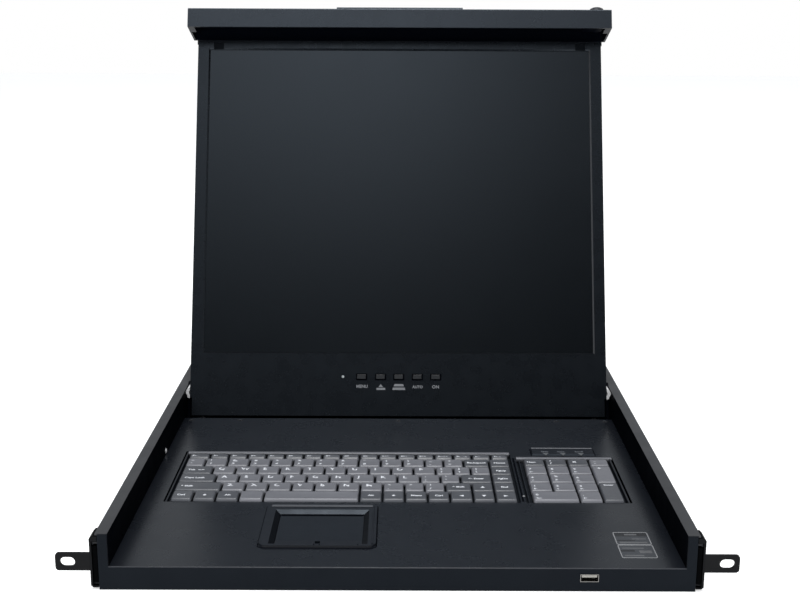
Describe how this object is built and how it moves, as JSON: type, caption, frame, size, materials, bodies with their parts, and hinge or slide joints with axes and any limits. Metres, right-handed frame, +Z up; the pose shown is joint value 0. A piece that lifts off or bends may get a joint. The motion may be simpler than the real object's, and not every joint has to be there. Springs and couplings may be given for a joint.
{
  "type": "rackmount lcd console drawer",
  "caption": "Slide-out rack drawer with a keyboard and touchpad under a fold-up flat screen, whose front bar closes the drawer, on telescopic slides with slotted rack ears.",
  "frame": {"origin": "middle of the two rack ears, on the rear face of the ears that seats against the rack posts", "axes": "+X to the right along the ears, +Y back into the rack, +Z up"},
  "size_m": [0.4826, 0.4793, 0.3995],
  "materials": {
    "black_steel": "satin black powder coat",
    "black_steel_lid": "satin black powder coat",
    "zinc_steel": "zinc plated",
    "black_zinc": "black zinc",
    "screw_steel": "zinc plated",
    "bezel_black": "fine texture",
    "key_grey": "fine texture",
    "base_black": "matt",
    "trim_black": "satin",
    "pad_surface": "satin",
    "lens_clear": "clear lens",
    "socket_metal": "nickel plated",
    "board_green": "solder mask",
    "bumper": "matt",
    "screen_glass": "anti-glare",
    "panel_metal": "pressed frame",
    "lock_metal": "dark nickel"
  },
  "bodies": {
    "rack_rails": {"ear_bracket_right": "black_steel", "ear_bracket_left": "black_steel", "outer_slide_right": "black_zinc", "outer_slide_left": "black_zinc", "rail_screws": "black_zinc"},
    "middle_slides": {"middle_slide_right": "black_zinc", "middle_slide_left": "black_zinc", "slide_bumpers": "bumper"},
    "outer_cages": {"outer_ball_cages": "zinc_steel"},
    "inner_cages": {"inner_ball_cages": "zinc_steel"},
    "drawer": {"tray_pan": "black_steel", "front_fascia": "black_steel", "deck_plate": "black_steel", "inner_slide_right": "black_zinc", "inner_slide_left": "black_zinc", "keyboard_base": "base_black", "indicator_bar": "trim_black", "indicator_lights": "lens_clear", "touchpad_frame": "trim_black", "touchpad_surface": "pad_surface", "data_socket": "socket_metal", "socket_board": "board_green", "rear_cover": "black_steel", "control_board": "board_green", "power_board": "board_green", "rear_sockets": "socket_metal", "power_inlet": "base_black", "hinge_bracket_right": "zinc_steel", "hinge_bracket_left": "zinc_steel", "hinge_pins": "zinc_steel", "drawer_screws": "screw_steel"},
    "lid": {"hinge_leaf_right": "zinc_steel", "hinge_leaf_left": "zinc_steel", "lid_back_shell": "black_steel_lid", "lid_bezel": "bezel_black", "button_board": "board_green", "power_light": "lens_clear", "lcd_glass": "screen_glass", "lcd_panel": "panel_metal", "driver_board": "board_green", "front_bar": "black_steel_lid", "pull_handle": "black_steel_lid", "lock_body": "lock_metal", "lid_screws": "screw_steel"},
    "lock_core": {"lock_cylinder": "lock_metal"},
    "left_touch_button": {"touchpad_button_left": "trim_black"},
    "right_touch_button": {"touchpad_button_right": "trim_black"},
    "bottom_row_keys_body": {"bottom_row_keys": "key_grey"},
    "lower_letter_keys_body": {"lower_letter_keys": "key_grey"},
    "home_row_keys_body": {"home_row_keys": "key_grey"},
    "upper_letter_keys_body": {"upper_letter_keys": "key_grey"},
    "number_row_keys_body": {"number_row_keys": "key_grey"},
    "function_keys_body": {"function_keys": "key_grey"},
    "space_bar_body": {"space_bar": "key_grey"},
    "number_pad_keys_body": {"number_pad_keys": "key_grey"},
    "menu_button_1_body": {"menu_button_1": "trim_black"},
    "menu_button_2_body": {"menu_button_2": "trim_black"},
    "menu_button_3_body": {"menu_button_3": "trim_black"},
    "menu_button_4_body": {"menu_button_4": "trim_black"},
    "menu_button_5_body": {"menu_button_5": "trim_black"}
  },
  "joints": [
    {"name": "drawer_slide", "type": "slide", "parent": "rack_rails", "child": "drawer", "axis": [0, -1, 0], "range_m": [0, 0.4]},
    {"name": "middle_slide_travel", "type": "slide", "parent": "rack_rails", "child": "middle_slides", "axis": [0, -1, 0], "range_m": [0, 0.2]},
    {"name": "outer_cage_travel", "type": "slide", "parent": "rack_rails", "child": "outer_cages", "axis": [0, -1, 0], "range_m": [0, 0.1]},
    {"name": "inner_cage_travel", "type": "slide", "parent": "middle_slides", "child": "inner_cages", "axis": [0, -1, 0], "range_m": [0, 0.1]},
    {"name": "lid_hinge", "type": "hinge", "parent": "drawer", "child": "lid", "pos_m": [0, 0.3452, 0.0185], "axis": [1, 0, 0], "range_deg": [-4, 110.59]},
    {"name": "lock_turn", "type": "hinge", "parent": "lid", "child": "lock_core", "pos_m": [0.1954, 0.45507, 0.36375], "axis": [0, 0.3517, 0.9361], "range_deg": [0, 90]},
    {"name": "left_touch_button_press", "type": "slide", "parent": "drawer", "child": "left_touch_button", "axis": [0, 0, -1], "range_m": [0, 0.0005], "stiffness_N_per_m": 1500, "springref_m": -0.0004},
    {"name": "right_touch_button_press", "type": "slide", "parent": "drawer", "child": "right_touch_button", "axis": [0, 0, -1], "range_m": [0, 0.0005], "stiffness_N_per_m": 1500, "springref_m": -0.0004},
    {"name": "bottom_row_keys_press", "type": "slide", "parent": "drawer", "child": "bottom_row_keys_body", "axis": [0, 0, -1], "range_m": [0, 0.002], "stiffness_N_per_m": 600, "springref_m": -0.002},
    {"name": "lower_letter_keys_press", "type": "slide", "parent": "drawer", "child": "lower_letter_keys_body", "axis": [0, 0, -1], "range_m": [0, 0.002], "stiffness_N_per_m": 600, "springref_m": -0.002},
    {"name": "home_row_keys_press", "type": "slide", "parent": "drawer", "child": "home_row_keys_body", "axis": [0, 0, -1], "range_m": [0, 0.002], "stiffness_N_per_m": 600, "springref_m": -0.002},
    {"name": "upper_letter_keys_press", "type": "slide", "parent": "drawer", "child": "upper_letter_keys_body", "axis": [0, 0, -1], "range_m": [0, 0.002], "stiffness_N_per_m": 600, "springref_m": -0.002},
    {"name": "number_row_keys_press", "type": "slide", "parent": "drawer", "child": "number_row_keys_body", "axis": [0, 0, -1], "range_m": [0, 0.002], "stiffness_N_per_m": 600, "springref_m": -0.002},
    {"name": "function_keys_press", "type": "slide", "parent": "drawer", "child": "function_keys_body", "axis": [0, 0, -1], "range_m": [0, 0.002], "stiffness_N_per_m": 600, "springref_m": -0.002},
    {"name": "space_bar_press", "type": "slide", "parent": "drawer", "child": "space_bar_body", "axis": [0, 0, -1], "range_m": [0, 0.002], "stiffness_N_per_m": 600, "springref_m": -0.002},
    {"name": "number_pad_keys_press", "type": "slide", "parent": "drawer", "child": "number_pad_keys_body", "axis": [0, 0, -1], "range_m": [0, 0.002], "stiffness_N_per_m": 600, "springref_m": -0.002},
    {"name": "menu_button_1_press", "type": "slide", "parent": "lid", "child": "menu_button_1_body", "axis": [0, 0.9361, -0.3517], "range_m": [0, 0.0005], "stiffness_N_per_m": 1500, "springref_m": -0.0004},
    {"name": "menu_button_2_press", "type": "slide", "parent": "lid", "child": "menu_button_2_body", "axis": [0, 0.9361, -0.3517], "range_m": [0, 0.0005], "stiffness_N_per_m": 1500, "springref_m": -0.0004},
    {"name": "menu_button_3_press", "type": "slide", "parent": "lid", "child": "menu_button_3_body", "axis": [0, 0.9361, -0.3517], "range_m": [0, 0.0005], "stiffness_N_per_m": 1500, "springref_m": -0.0004},
    {"name": "menu_button_4_press", "type": "slide", "parent": "lid", "child": "menu_button_4_body", "axis": [0, 0.9361, -0.3517], "range_m": [0, 0.0005], "stiffness_N_per_m": 1500, "springref_m": -0.0004},
    {"name": "menu_button_5_press", "type": "slide", "parent": "lid", "child": "menu_button_5_body", "axis": [0, 0.9361, -0.3517], "range_m": [0, 0.0005], "stiffness_N_per_m": 1500, "springref_m": -0.0004}
  ],
  "couplings": [
    {"joint": "middle_slide_travel", "follows": "drawer_slide", "ratio": 0.5},
    {"joint": "outer_cage_travel", "follows": "drawer_slide", "ratio": 0.25},
    {"joint": "inner_cage_travel", "follows": "drawer_slide", "ratio": 0.25}
  ]
}
